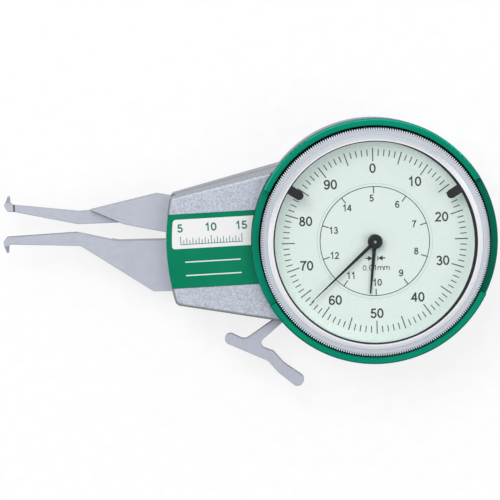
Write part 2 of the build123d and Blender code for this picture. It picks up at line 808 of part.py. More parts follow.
def train_wheel(teeth, module, shift, phase, at, bore, z0):
    face = gear_face(teeth, module, shift, phase, at) - Pos(*at) * Circle(bore)
    outer = module * teeth / 2 - wheel_rim
    if outer > bore + 2 * wheel_hub:
        face -= Pos(*at) * crossings(outer, bore + wheel_hub)
    return slab(face, z0, z0 + wheel_t)


def gear_sector():
    """A toothed segment on two screws, with a window to lighten it."""
    pitch = 360 / sector_teeth
    below = int((close_deg + sector_margin) / pitch)
    above = int((open_deg + sector_margin) / pitch)
    teeth = gear_points(sector_teeth, sector_module, -profile_shift, to_first, -below, above)
    rim_r = mesh_pivot - sector_rim
    low = polar(rim_r, to_first - close_deg - sector_side)
    high = polar(rim_r, to_first + open_deg + sector_side)
    corners = [*teeth, high, lever_outline[0][:2], lever_outline[-1][:2], low]
    face = make_face(Polyline(*from_pivot(corners), close=True))
    radii = (sector_window_r, rim_r - sector_rim, rim_r - sector_rim, sector_window_r)
    window = [polar(r, to_first + a, pivot) for r, a in zip(radii, sector_window_angles)]
    face -= outline([(x, y, 1.0) for x, y in window])
    plate = slab(face, sector_z0, sector_z1) + slab(sector_foot(), sector_z0, sector_z1)
    for spot in tail_screw_spots():
        plate -= disc(screw_r + head_gap, sector_z0 - 1, sector_z1 + 1, spot)
    return plate


def sector_foot():
    """The sector's foot on the lever, round both screws."""
    x0, x1, half = sector_foot_start, tail_end_r, sector_foot_half
    along = [(x0, -half, 1.0), (x1, -half, tail_end_fillet), (x1, half, tail_end_fillet), (x0, half, 1.0)]
    return Pos(*pivot) * Rot(0, 0, tail_angle) * outline(along)


def arbor(at, radius, z_top):
    """A shaft between the plates with a thin end in its rear bush."""
    z0 = rear_plate_z + rear_plate_t
    shaft = disc(radius, z0 + end_shake, z_top - end_shake, at)
    return shaft + disc(pivot_end_r, rear_plate_z + end_shake, z0 + end_shake, at)


def front_end(at):
    """The thin end of an arbor in its front bush."""
    return disc(pivot_end_r, front_plate_z - 2 * end_shake, front_plate_z + front_plate_t, at)


def intermediate_arbor():
    shaft = arbor(first_arbor, arbor_r, front_plate_z) + front_end(first_arbor)
    face = gear_face(first_pinion_teeth, sector_module, profile_shift, first_pinion_phase, first_arbor)
    return shaft + slab(face, first_pinion_z0, wheel_z0)


def intermediate_wheel():
    return train_wheel(wheel_teeth, wheel_module, -profile_shift, to_centre, first_arbor,
                       arbor_r, wheel_z0)


def counter_drive_gear():
    return train_wheel(counter_drive_teeth, counter_module, 0, to_centre, first_arbor,
                       arbor_r, counter_z0)


def centre_arbor():
    z_pinion = wheel_z0 - pinion_overlap / 2
    shaft = arbor(centre, spindle_r + 0.15, z_pinion + 2 * end_shake)
    face = gear_face(centre_pinion_teeth, wheel_module, profile_shift, centre_phase, centre)
    shaft += slab(face, z_pinion, wheel_z1 + pinion_overlap / 2)
    return shaft + disc(spindle_r, z_pinion, long_hand_z) + disc(spindle_tip_r, z_pinion, spindle_top_z)


def counter_wheel():
    """The hour wheel of the gauge: its pipe carries the short hand."""
    bore = spindle_r + pin_running_gap
    wheel = train_wheel(counter_wheel_teeth, counter_module, 0, counter_phase, centre, bore, counter_z0)
    return wheel + tube(pipe_r, bore, counter_z0, short_hand_z + hand_t + stack_gap)


def backlash_arbor():
    return arbor(backlash_spot, thin_arbor_r, front_plate_z) + front_end(backlash_spot)


def backlash_wheel():
    return train_wheel(backlash_wheel_teeth, wheel_module, -profile_shift, backlash_phase,
                       backlash_spot, thin_arbor_r, wheel_z0)


def spiral_arcs():
    """(centre x, radius, side) of half circles, each one step larger, that join into a spiral."""
    x, radius, side = hair_inner_r, hair_inner_r, 1
    arcs = []
    for _ in range(hair_half_turns):
        radius += hair_step / 2
        arcs.append((x - radius * side, radius, side))
        x -= 2 * radius * side
        side = -side
    return arcs


def hairspring():
    """A flat spiral of strip between the collet on the arbor and the stud."""
    strip = None
    for x, radius, side in spiral_arcs():
        half = Circle(radius + hair_t / 2) - Circle(radius - hair_t / 2)
        half = Pos(x, 0) * (half & Pos(0, side * radius) * Rectangle(3 * radius, 2 * radius))
        strip = half if strip is None else strip + half
    return Pos(*backlash_spot) * slab(strip, hair_z, hair_z + hair_h)


def stud_spot():
    """Just outside the spiral's last end."""
    x, radius, side = spiral_arcs()[-1]
    return (backlash_spot[0] + x - side * (radius + hair_t / 2 + hair_stud_r), backlash_spot[1])


def hairspring_collet():
    return tube(hair_inner_r - hair_t / 2, thin_arbor_r, hair_z - stack_gap, hair_z + hair_h + stack_gap,
                backlash_spot)


def hairspring_stud():
    return disc(hair_stud_r, rear_plate_z + boss_sink, hair_z + hair_h + boss_sink, stud_spot())


# Movement plates

def pillar_spots():
    return [polar(pillar_radius, angle) for angle in pillar_angles]


def rear_plate():
    plate = disc(rear_plate_r, rear_plate_z, rear_plate_z + rear_plate_t)
    for at in (first_arbor, centre, backlash_spot):
        plate -= disc(plate_bush_r, 0, far, at)
    for spot in pillar_spots():
        plate -= disc(small_screw_r + thread_gap, 0, far, spot)
    return plate - disc(hair_stud_r, rear_plate_z + boss_sink, far, stud_spot())


def front_plate():
    plate = disc(collar_bore_r - front_plate_margin, front_plate_z, front_plate_z + front_plate_t)
    for at in (first_arbor, backlash_spot):
        plate -= disc(plate_bush_r, 0, far, at)
    plate -= disc(pipe_r + pivot_end_gap + pipe_bush_wall, 0, far)
    for spot in pillar_spots() + lug_spots():
        plate -= disc(small_screw_r + thread_gap, 0, far, spot)
    return plate


def arbor_bushes():
    z0, z1 = rear_plate_z, rear_plate_z + rear_plate_t
    z2, z3 = front_plate_z, front_plate_z + front_plate_t
    bore = pivot_end_r + pivot_end_gap
    rear = [tube(plate_bush_r, bore, z0, z1, at) for at in (first_arbor, centre, backlash_spot)]
    front = [tube(plate_bush_r, bore, z2, z3, at) for at in (first_arbor, backlash_spot)]
    pipe = tube(pipe_r + pivot_end_gap + pipe_bush_wall, pipe_r + pivot_end_gap, z2, z3)
    return group(rear + front + [pipe])


def plate_pillars():
    z0, z1 = rear_plate_z + rear_plate_t, front_plate_z
    return group(tube(pillar_r, small_screw_r + thread_gap, z0, z1, spot) for spot in pillar_spots())


def small_screw(spot, z, length, down=True):
    return screw(spot, z, length, small_screw_r, small_head_r, small_head_h, down)


def pillar_screws():
    top = front_plate_z + front_plate_t + small_head_h
    bottom = rear_plate_z - small_head_h
    upper = [small_screw(spot, top, pillar_screw_length) for spot in pillar_spots()]
    lower = [small_screw(spot, bottom, pillar_screw_length, down=False) for spot in pillar_spots()]
    return group(upper + lower)


def movement_screws():
    top = front_plate_z + front_plate_t + small_head_h
    return group(small_screw(spot, top, lug_screw_length) for spot in lug_spots())


# Bezel, dial and guard

def knurl_band():
    points = []
    for k in range(knurl_teeth):
        points.append(polar(knurl_r, 360 * k / knurl_teeth))
        points.append(polar(root_r, 360 * (k + 0.5) / knurl_teeth))
    ring = make_face(Polyline(*points, close=True)) - Circle(root_r - knurl_root)
    return slab(ring, bezel_z0 + knurl_lift, knurl_top_z)


def bezel():
    skirt = collar_r + bezel_running_gap
    ring_r = bezel_bore_r + retaining_ring_bite
    snap_r = skirt + snap_ring_bite
    snap_z1 = snap_z0 + snap_ring_h + 2 * part_gap
    slot_z = crystal_top_z + marker_slot
    return knurl_band() + turned([
        (skirt, bezel_z0), (root_r, bezel_z0), (root_r, knurl_top_z), (root_r - band_bevel, band_z),
        (window_r + slope_width, band_z), (window_r + bezel_top_land, bezel_top_z),
        (window_r, bezel_top_z), (window_r, slot_z), (marker_slot_r, slot_z),
        (marker_slot_r, crystal_top_z), (bezel_bore_r, crystal_top_z), (bezel_bore_r, dial_z0),
        (ring_r, dial_z0), (ring_r, retaining_z0), (skirt, retaining_z0),
        (skirt, snap_z1), (snap_r, snap_z1), (snap_r, snap_z0 - part_gap), (skirt, snap_z0 - part_gap)])


def crystal():
    return disc(bezel_bore_r - part_gap, crystal_z0, crystal_top_z)


def spacer_ring():
    return tube(bezel_bore_r - part_gap, window_r - spacer_ledge, dial_top_z, crystal_z0)


def dial_plate():
    return tube(bezel_bore_r - part_gap, pipe_r + dial_hole_gap, dial_z0, dial_top_z)


def split_ring(outer, inner, z0, z1, gap_angle):
    """A ring with a small gap, sprung into a groove."""
    half = ring_split / 2
    notch = Rot(0, 0, gap_angle) * block(inner - 1, outer + 1, -half, half, z0 - 1, z1 + 1)
    return tube(outer, inner, z0, z1) - notch


def dial_retaining_ring():
    outer = bezel_bore_r + retaining_ring_bite - part_gap
    return split_ring(outer, outer - retaining_ring_w, retaining_z0, dial_z0, 90)


def bezel_snap_ring():
    inner, outer = collar_r - snap_ring_bite, collar_r + snap_ring_bite
    return split_ring(outer, inner, snap_z0, snap_z0 + snap_ring_h, 270)


def guard_ring():
    """The green ring, cut lower at both sides so that fingers reach the knurl."""
    seat_z = shoulder_z + guard_flange_h
    ring = turned([
        (guard_flange_r, shoulder_z), (guard_r - guard_foot, shoulder_z),
        (guard_r, shoulder_z + guard_foot_h), (guard_r, guard_top_z),
        (guard_bore_r, guard_top_z), (guard_bore_r, seat_z), (guard_flange_r, seat_z)])
    ring = fillet(edges_at(ring, guard_top_z), guard_edge_fillet)
    spread = far * tan(radians(guard_recess_half))
    wedge = slab(outline([(0, 0), (far, -spread), (far, spread)]), guard_top_z - guard_recess, far)
    return ring - wedge - Rot(0, 0, 180) * wedge


def marker(angle):
    """A tab on the crystal with a foot in the slot under the bezel's lip."""
    foot_r = marker_slot_r - 2 * marker_gap
    round_x = window_r - marker_reach + marker_half_width
    tab = Pos((round_x + foot_r) / 2, 0) * Rectangle(foot_r - round_x, 2 * marker_half_width)
    foot = Pos(foot_r, 0) * Rectangle(marker_reach, 2 * marker_foot_half) - Circle(window_r + marker_gap)
    face = (tab + Pos(round_x, 0) * Circle(marker_half_width) + foot) & Circle(foot_r)
    z0 = crystal_top_z + marker_gap
    return Rot(0, 0, angle) * slab(face, z0, z0 + marker_t)


# Hands

def hand(length, angle, tip_half, blade_z, hub, bore):
    """A tapered blade on a hub. hub is (radius, z0, z1)."""
    radius, z0, z1 = hub
    blade = make_face(Polyline((0, -hand_root_half), (length, -tip_half), (length, tip_half),
                               (0, hand_root_half), close=True))
    cap = disc(radius, z0, z1)
    cap = fillet(edges_at(cap, z1), (z1 - z0) * 0.35)
    shape = slab(blade, blade_z, blade_z + hand_t) + cap - disc(bore, 0, far)
    return Rot(0, 0, angle) * shape


def long_hand():
    hub = (hub_hand_r, long_hand_z, long_hand_z + hub_hand_h)
    return hand(window_r - long_hand_inset, long_hand_angle, long_tip_half,
                long_hand_z + hand_end, hub, spindle_tip_r)


def short_hand():
    hub = (short_hub_r, short_hand_z - stack_gap, short_hand_z + hand_t + stack_gap)
    return hand(short_hand_length, short_hand_angle, short_tip_half, short_hand_z, hub, pipe_r)


def build():
    body = envelope()
    nodes = {
        "front_housing": front_housing(body),
        "back_cover": back_cover(body),
        "cover_screws": cover_screws(),
        "name_panel": name_panel(),
        "guard_ring": guard_ring(),
        "fixed_arm": fixed_arm(),
        "fixed_arm_screws": fixed_arm_screws(),
        "pivot_pin": pivot_pin(),
        "pivot_washer": pivot_washer(),
        "pivot_clip": pivot_clip(),
        "stop_pins": stop_pins(),
        "spring_post": spring_post(),
        "return_spring": return_spring(),
        "rear_plate": rear_plate(),
        "front_plate": front_plate(),
        "arbor_bushes": arbor_bushes(),
        "plate_pillars": plate_pillars(),
        "pillar_screws": pillar_screws(),
        "movement_screws": movement_screws(),
        "hairspring": hairspring(),
        "hairspring_stud": hairspring_stud(),
        "bezel_snap_ring": bezel_snap_ring(),
        "movable_arm": movable_arm(),
        "pivot_bush": pivot_bush(),
        "finger_lever": finger_lever(),
        "gear_sector": gear_sector(),
        "arm_screws": arm_screws(),
        "spring_pin": spring_pin(),
        "intermediate_arbor": intermediate_arbor(),
        "intermediate_wheel": intermediate_wheel(),
        "counter_drive_gear": counter_drive_gear(),
        "centre_arbor": centre_arbor(),
        "long_hand": long_hand(),
        "counter_wheel": counter_wheel(),
        "short_hand": short_hand(),
        "backlash_arbor": backlash_arbor(),
        "backlash_wheel": backlash_wheel(),
        "hairspring_collet": hairspring_collet(),
        "bezel": bezel(),
        "crystal": crystal(),
        "spacer_ring": spacer_ring(),
        "dial_plate": dial_plate(),
        "dial_retaining_ring": dial_retaining_ring(),
    }
    for name, angle in marker_angles.items():
        nodes[name] = marker(angle)
    return nodes


os.makedirs("parts", exist_ok=True)
for name, shape in build().items():
    export_step(shape, f"parts/{name}.step")
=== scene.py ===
import math

import bmesh
import bpy
from mathutils import Matrix, Vector


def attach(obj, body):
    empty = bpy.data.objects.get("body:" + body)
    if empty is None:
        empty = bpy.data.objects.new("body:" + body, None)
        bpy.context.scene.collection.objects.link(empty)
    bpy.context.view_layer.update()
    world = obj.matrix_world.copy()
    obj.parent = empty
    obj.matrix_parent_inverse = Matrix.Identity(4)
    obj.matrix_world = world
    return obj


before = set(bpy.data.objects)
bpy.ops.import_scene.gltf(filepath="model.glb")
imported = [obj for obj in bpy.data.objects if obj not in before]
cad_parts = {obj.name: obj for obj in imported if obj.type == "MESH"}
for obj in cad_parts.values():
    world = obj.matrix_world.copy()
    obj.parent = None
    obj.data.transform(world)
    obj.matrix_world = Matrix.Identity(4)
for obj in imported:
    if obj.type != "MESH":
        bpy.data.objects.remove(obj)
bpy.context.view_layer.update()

MM = 0.001

# The camera stands where the photograph's did. It looks down on the dial, a little from +Y
# and a trace from -X, and the gauge lies turned by a few degrees in the picture.
PICTURE_TURN = math.radians(3.33)
CAMERA_TILT = math.radians(5.28)
CAMERA_SIDE = math.radians(0.2)
CAMERA_DISTANCE = 0.700
CAMERA_CLIP = (0.01, 20.0)
PIXEL = 0.21963 * MM          # the width of one pixel at the target
PICTURE_WIDTH = 500
SENSOR = 36.0
TARGET = Vector((-27.617, -1.544, 22.0)) * MM


def place_camera():
    turn = Matrix.Rotation(-PICTURE_TURN, 3, "Z")
    back = Vector((-math.sin(CAMERA_SIDE), math.sin(CAMERA_TILT), math.cos(CAMERA_TILT)))
    back = turn @ back.normalized()
    right = Vector(turn.col[1]).cross(back).normalized()
    up = back.cross(right)
    where = turn @ TARGET + back * CAMERA_DISTANCE
    data = bpy.data.cameras.new("camera")
    data.sensor_width = SENSOR
    data.lens = CAMERA_DISTANCE / PIXEL * SENSOR / PICTURE_WIDTH
    data.clip_start, data.clip_end = CAMERA_CLIP
    camera = bpy.data.objects.new("camera", data)
    bpy.context.scene.collection.objects.link(camera)
    rotation = Matrix((right, up, back)).transposed().to_4x4()
    camera.matrix_world = Matrix.Translation(where) @ rotation
    bpy.context.scene.camera = camera


# Small helpers for node trees

LEFTWARD, NEARWARD, UPWARD = (-1, 0, 0), (0, -1, 0), (0, 0, 1)


def times(colour, factor):
    return tuple(factor * c for c in colour)


class Nodes:
    """Short ways to add nodes to a tree. Most give back the new node's output."""

    def __init__(self, tree):
        self.tree = tree

    def node(self, kind, **values):
        made = self.tree.nodes.new(kind)
        for key, value in values.items():
            setattr(made, key, value)
        return made

    def link(self, a, b):
        self.tree.links.new(a, b)

    def feed(self, socket, value):
        """Gives a socket a number, a colour or another node's output."""
        if isinstance(value, (int, float)):
            socket.default_value = value
        elif isinstance(value, tuple):
            socket.default_value = (*value, 1)
        else:
            self.link(value, socket)

    def parts(self, vector):
        """The X, Y and Z of a vector."""
        split = self.node("ShaderNodeSeparateXYZ")
        self.link(vector, split.inputs[0])
        return split.outputs

    def ramp(self, value, stops):
        made = self.node("ShaderNodeValToRGB")
        elements = made.color_ramp.elements
        while len(elements) < len(stops):
            elements.new(0.5)
        for element, (at, colour) in zip(elements, stops):
            element.position = at
            element.color = (*colour, 1)
        self.link(value, made.inputs["Fac"])
        return made.outputs["Color"]

    def range(self, value, low, high, start, end):
        """Goes from low to high while the value goes from start to end, and stays there beyond."""
        made = self.node("ShaderNodeMapRange")
        numbers = {"From Min": start, "From Max": end, "To Min": low, "To Max": high}
        for key, number in numbers.items():
            made.inputs[key].default_value = number
        self.link(value, made.inputs["Value"])
        return made.outputs["Result"]

    def mix(self, factor, a, b, blend="MIX"):
        made = self.node("ShaderNodeMix", data_type="RGBA", blend_type=blend)
        self.feed(made.inputs[0], factor)
        self.feed(made.inputs[6], a)
        self.feed(made.inputs[7], b)
        return made.outputs[2]

    def tint(self, base, colour, factor=1.0):
        return self.mix(factor, base, colour, "MULTIPLY")

    def math(self, operation, a, b=0.0):
        made = self.node("ShaderNodeMath", operation=operation)
        self.feed(made.inputs[0], a)
        self.feed(made.inputs[1], b)
        return made.outputs[0]

    def both(self, a, b):
        return self.math("MULTIPLY", a, b)

    def either(self, a, b):
        return self.math("MAXIMUM", a, b)

    def above(self, value, limit):
        return self.math("GREATER_THAN", value, limit)

    def below(self, value, limit):
        return self.math("LESS_THAN", value, limit)


class Look(Nodes):
    """One material: a principled shader, and masks from the place and slope of a face."""

    def __init__(self, name):
        self.material = bpy.data.materials.new(name)
        self.material.use_nodes = True
        super().__init__(self.material.node_tree)
        self.shader = self.tree.nodes["Principled BSDF"]
        self.output = self.tree.nodes["Material Output"]
        self.place = self.node("ShaderNodeTexCoord").outputs["Object"]

    def set(self, **values):
        for key, value in values.items():
            self.shader.inputs[key.replace("_", " ")].default_value = value

    def colour(self, socket):
        self.link(socket, self.shader.inputs["Base Color"])

    def rough(self, socket):
        self.link(socket, self.shader.inputs["Roughness"])

    def bump(self, height, distance, strength):
        """Adds to the bumps already there. distance is in metres."""
        made = self.node("ShaderNodeBump")
        made.inputs["Strength"].default_value = strength
        made.inputs["Distance"].default_value = distance
        self.link(height, made.inputs["Height"])
        normal = self.shader.inputs["Normal"]
        if normal.is_linked:
            self.link(normal.links[0].from_socket, made.inputs["Normal"])
        self.link(made.outputs["Normal"], normal)

    def mapped(self, scale):
        mapping = self.node("ShaderNodeMapping")
        mapping.inputs["Scale"].default_value = scale
        self.link(self.place, mapping.inputs["Vector"])
        return mapping.outputs["Vector"]

    def noise(self, scale, detail, roughness, stretch=(1, 1, 1)):
        made = self.node("ShaderNodeTexNoise")
        made.inputs["Scale"].default_value = 1.0
        made.inputs["Detail"].default_value = detail
        made.inputs["Roughness"].default_value = roughness
        self.link(self.mapped(times(stretch, scale)), made.inputs["Vector"])
        return made.outputs["Fac"]

    def cells(self, scale):
        """Distance from the nearest of many scattered points."""
        made = self.node("ShaderNodeTexVoronoi", feature="F1")
        made.inputs["Scale"].default_value = 1.0
        self.link(self.mapped((scale,) * 3), made.inputs["Vector"])
        return made.outputs["Distance"]

    def vector(self, operation, a, b=(0, 0, 0)):
        made = self.node("ShaderNodeVectorMath", operation=operation)
        self.link(a, made.inputs[0])
        made.inputs[1].default_value = b
        return made.outputs["Value" if operation in ("LENGTH", "DOT_PRODUCT") else "Vector"]

    def radius(self, centre=(0, 0)):
        """Distance from an upright axis."""
        shifted = self.vector("SUBTRACT", self.place, (*centre, 0))
        return self.vector("LENGTH", self.vector("MULTIPLY", shifted, (1, 1, 0)))

    def angle(self):
        """Angle about the dial's axis, in radians."""
        x, y, _ = self.parts(self.place)
        return self.math("ARCTAN2", y, x)

    def along(self, axis):
        """The place along X, Y or Z."""
        return self.parts(self.place)[axis]

    def normal(self):
        return self.node("ShaderNodeNewGeometry").outputs["True Normal"]

    def steepness(self):
        """0 on level faces, 1 on upright ones."""
        return self.math("SUBTRACT", 1.0, self.math("ABSOLUTE", self.parts(self.normal())["Z"]))

    def facing(self, direction):
        """1 on faces that look along a direction, 0 on those at right angles to it or beyond."""
        return self.either(self.vector("DOT_PRODUCT", self.normal(), direction), 0.0)

    def shade_sides(self, base, shade):
        """Darkens the steep faces: painted shade."""
        steep = self.range(self.steepness(), 0.0, 1.0, 0.25, 0.9)
        return self.mix(steep, base, self.tint(base, shade))


# Materials. Scales of noise and cells are in repeats per metre.

# Painted shade: the casting's steep faces, its rounded edges towards -X and -Y, and a band along
# the seam
CAST_SIDE_SHADE = (0.80, 0.81, 0.78)
CAST_SPECK = (0.66, 0.52, 0.62)
CAST_EDGE_SHADE = (0.225, 0.230, 0.215)
CAST_SEAM_SHADE = (0.14, 0.145, 0.15)
SEAM_HEIGHT = 6.4 * MM        # where the two castings meet


def cast_metal(name, light, dark, tint):
    """Blasted die casting: fine mottled grain with a few pinkish specks and dark pits.

    The rounded edges towards -X and -Y and a band along the seam are darker: painted shade.
    """
    look = Look(name)
    grain = look.noise(2700, 4, 0.75)
    clouds = look.noise(120, 3, 0.6)
    specks = look.noise(4200, 2, 0.5)
    pits = look.cells(2100)
    base = look.ramp(grain, [(0.40, dark), (0.60, light)])
    base = look.tint(base, tint, look.range(clouds, 0.0, 0.25, 0.35, 0.7))
    base = look.mix(look.range(specks, 0.0, 0.55, 0.62, 0.74), base, CAST_SPECK)
    base = look.mix(look.range(pits, 0.5, 0.0, 0.03, 0.14), base, times(dark, 0.55))
    base = look.shade_sides(base, CAST_SIDE_SHADE)
    # painted shade on the rounded edges that face -Y and -X
    near = look.either(look.facing(NEARWARD), look.facing(LEFTWARD))
    rounded = look.range(look.steepness(), 1.0, 0.0, 0.80, 0.93)
    painted_edge_shade = look.both(look.range(near, 0.0, 0.85, 0.06, 0.55), rounded)
    base = look.mix(painted_edge_shade, base, CAST_EDGE_SHADE)
    # painted shade in a band along the seam between the two castings
    off_seam = look.math("ABSOLUTE", look.math("SUBTRACT", look.along("Z"), SEAM_HEIGHT))
    seam_shade = look.range(off_seam, 0.75, 0.0, 0.25 * MM, 0.9 * MM)
    look.colour(look.mix(seam_shade, base, CAST_SEAM_SHADE))
    look.set(Metallic=0.45)
    look.rough(look.range(grain, 0.42, 0.62, 0.3, 0.7))
    look.bump(grain, 0.00006, 0.6)
    look.bump(specks, 0.00003, 0.5)
    return look.material


STEEL_CLOUD = (0.86, 0.87, 0.93)
# painted shade for upright faces and for the floor of the groove
STEEP_SHADE_DARK = (0.06, 0.065, 0.08)
GROOVE_SHADE = (0.05, 0.052, 0.06)


def satin_steel(name, base, roughness, lengthwise, metallic=0.85, streaks=0.10,
                side_shade=None, blued=None, groove=None):
    """Ground and plated metal with faint streaks along its length.

    Upright faces further out than the X given are darker, and so are level faces below the groove's
    height: both painted shade.
    """
    look = Look(name)
    line = look.noise(2600, 4, 0.6, lengthwise)
    clouds = look.noise(160, 3, 0.55)
    nicks = look.noise(5200, 1, 0.4)
    dark, light = times(base, 1 - streaks), times(base, 1 + 0.5 * streaks)
    colour = look.ramp(line, [(0.3, dark), (0.7, light)])
    colour = look.tint(colour, STEEL_CLOUD, look.range(clouds, 0.0, 0.25, 0.4, 0.7))
    colour = look.mix(look.range(nicks, 0.0, 0.3, 0.72, 0.8), colour, times(base, 0.6))
    if side_shade:
        colour = look.shade_sides(colour, side_shade)
    # painted shade on the upright faces beyond the X given
    if blued:
        steep = look.range(look.steepness(), 0.0, 0.85, 0.2, 0.7)
        out = look.below(look.along("X"), blued)
        colour = look.mix(look.both(steep, out), colour, STEEP_SHADE_DARK)
    # painted shade on the level faces low in the groove
    if groove:
        low = look.both(look.above(look.facing(UPWARD), 0.5), look.below(look.along("Z"), groove))
        colour = look.mix(low, colour, GROOVE_SHADE)
    look.colour(colour)
    look.set(Metallic=metallic)
    look.rough(look.range(line, roughness - 0.05, roughness + 0.08, 0.3, 0.7))
    look.bump(line, 0.00002, 0.35)
    return look.material


# The bezel: a flat band, then a slope with a level edge at its top, and the knurl round them.
# Painted reflection: the slope, its level edge and the teeth are near white and hardly metallic.
# Painted shade: the slope is duller where it faces one side, and dark between the teeth.
SLOPE_FOOT = 20.85 * MM       # the band lies lower, the slope and its edge higher
SLOPE_SHADED_SIDE = (-0.20, 0.98, 0.0)
SLOPE_PAINTED_REFLECTION = (0.99, 0.985, 0.965)
SLOPE_PAINTED_SHADE = (0.60, 0.62, 0.62)
SLOPE_EDGE = (0.78, 0.785, 0.80)
SLOPE_METALLIC = 0.05
BAND_TINT = (0.715, 0.755, 0.775)
KNURL_TEETH = 300
KNURL_SHADE_R = (24.85 * MM, 24.95 * MM)     # where the painted shade between the teeth fades in
KNURL_PAINTED_HIGHLIGHT = (0.97, 0.975, 1.0)
KNURL_VALLEY_SHADE = (0.004, 0.004, 0.005)
TARNISH = (0.85, 0.86, 0.92)


def bezel_finish(look, chrome, metallic):
    """The duller band; the slope, its edge and the teeth painted near white as a painted
    reflection, the slope duller on one side as painted shade, and painted shade between the teeth.
    """
    wave = look.math("COSINE", look.math("MULTIPLY", look.angle(), KNURL_TEETH))
    valley = look.range(wave, 1.0, 0.0, -0.15, 0.5)
    knurl = look.range(look.radius(), 0.0, 1.0, *KNURL_SHADE_R)
    slope = look.above(look.along("Z"), SLOPE_FOOT)
    bright = look.either(slope, knurl)
    dull = look.range(look.facing(SLOPE_SHADED_SIDE), 0.0, 1.0, 0.3, 0.55)
    edge = look.range(look.steepness(), 1.0, 0.0, 0.004, 0.02)
    sloping = look.mix(edge, look.mix(dull, SLOPE_PAINTED_REFLECTION, SLOPE_PAINTED_SHADE), SLOPE_EDGE)
    white = look.mix(slope, KNURL_PAINTED_HIGHLIGHT, sloping)
    colour = look.mix(bright, look.tint(chrome, BAND_TINT), white)
    look.link(look.range(bright, metallic, SLOPE_METALLIC, 0.0, 1.0),
              look.shader.inputs["Metallic"])
    # painted shade between the teeth
    return look.mix(look.both(valley, knurl), colour, KNURL_VALLEY_SHADE)


def turned_metal(name, base, roughness, rings=9000, metallic=1.0, tint_and_painted_light=None):
    """Metal turned on a lathe about an upright axis: fine rings and slight tarnish."""
    look = Look(name)
    spread = look.node("ShaderNodeCombineXYZ")
    look.link(look.radius(), spread.inputs["X"])
    lathe = look.node("ShaderNodeTexNoise")
    lathe.inputs["Scale"].default_value = rings
    lathe.inputs["Detail"].default_value = 2
    look.link(spread.outputs[0], lathe.inputs["Vector"])
    line = lathe.outputs["Fac"]
    clouds = look.noise(180, 3, 0.6)
    colour = look.ramp(line, [(0.3, times(base, 0.88)), (0.7, base)])
    colour = look.tint(colour, TARNISH, look.range(clouds, 0.0, 0.3, 0.4, 0.75))
    look.set(Metallic=metallic)
    look.colour(tint_and_painted_light(look, colour, metallic) if tint_and_painted_light else colour)
    look.rough(look.range(line, roughness - 0.04, roughness + 0.08, 0.3, 0.7))
    look.bump(line, 0.00001, 0.3)
    return look.material


def moulded(name, base, roughness, grain, depth, gloss, wear=0.12):
    """Moulded or painted surface with a fine orange peel and slightly uneven colour."""
    look = Look(name)
    peel = look.noise(grain, 3, 0.5)
    clouds = look.noise(90, 3, 0.6)
    dark = times(base, 1 - wear)
    light = tuple(c * (1 + wear) + 0.004 for c in base)
    look.colour(look.mix(look.range(clouds, 0.0, 1.0, 0.3, 0.7), dark, light))
    look.rough(look.range(peel, roughness - 0.05, roughness + 0.07, 0.3, 0.7))
    look.set(Specular_IOR_Level=gloss)
    look.bump(peel, depth, 0.5)
    return look.material


RING_GREEN = (0.0004, 0.238, 0.138)
RING_BORE_SHADE = (0.0004, 0.012, 0.010)
NOTCH_TOP = 18.9 * MM         # the ring is lower than this where fingers reach the knurl
BORE_EDGE = 25.72 * MM
BORE_SHADE_Y = (-14 * MM, 0.0)     # where the painted shade along it fades in
OUTER_RIM = 26.4 * MM
GLINT_SIDE = (-0.35, 0.94, 0.0)
GLINT_GREEN = (0.012, 0.50, 0.33)


def ring_plastic(name):
    """Green moulding, with painted shade in the finger notch at +X, on its steep faces and along
    the edge of its bore.

    Its rounded outer rim has a painted highlight on the far side and painted shade on the near one.
    """
    look = Look(name)
    peel = look.noise(900, 3, 0.5)
    clouds = look.noise(90, 3, 0.6)
    lean = look.steepness()
    dark, light = times(RING_GREEN, 0.9), times(RING_GREEN, 1.08)
    base = look.mix(look.range(clouds, 0.0, 1.0, 0.3, 0.7), dark, light)
    # painted shade: the low level faces of the finger notch at +X
    notch = look.both(look.below(look.along("Z"), NOTCH_TOP), look.above(look.along("X"), 0.0))
    base = look.mix(look.both(notch, look.below(lean, 0.5)), base, times(RING_GREEN, 0.55))
    # painted shade on the steep faces
    base = look.mix(look.range(lean, 0.0, 1.0, 0.15, 0.5), base, times(RING_GREEN, 0.60))
    # painted highlight on the far side of the rounded outer rim, painted shade on its near side
    rounded = look.both(look.range(lean, 0.0, 1.0, 0.005, 0.04),
                        look.range(lean, 1.0, 0.0, 0.12, 0.35))
    rim = look.both(rounded, look.above(look.radius(), OUTER_RIM))
    for side, colour in ((GLINT_SIDE, GLINT_GREEN), (NEARWARD, times(RING_GREEN, 0.62))):
        towards = look.range(look.facing(side), 0.0, 1.0, 0.05, 0.20)
        base = look.mix(look.both(rim, towards), base, colour)
    # painted shade along the edge of the bore
    bore = look.both(look.below(look.radius(), BORE_EDGE),
                     look.range(look.along("Y"), 0.0, 1.0, *BORE_SHADE_Y))
    look.colour(look.mix(bore, base, RING_BORE_SHADE))
    look.rough(look.range(peel, 0.32, 0.42, 0.3, 0.7))
    look.set(Specular_IOR_Level=0.06)
    look.bump(peel, 0.00002, 0.5)
    return look.material


def dial_enamel(name):
    """Pale mint dial face with a very fine speckle."""
    look = Look(name)
    fine = look.noise(3200, 2, 0.5)
    clouds = look.noise(60, 2, 0.5)
    base = look.ramp(fine, [(0.3, (0.685, 0.765, 0.705)), (0.7, (0.735, 0.812, 0.752))])
    look.colour(look.tint(base, (0.95, 0.98, 0.97), look.range(clouds, 0.0, 0.3, 0.4, 0.7)))
    look.rough(look.range(fine, 0.48, 0.6, 0.3, 0.7))
    look.bump(fine, 0.000008, 0.3)
    return look.material


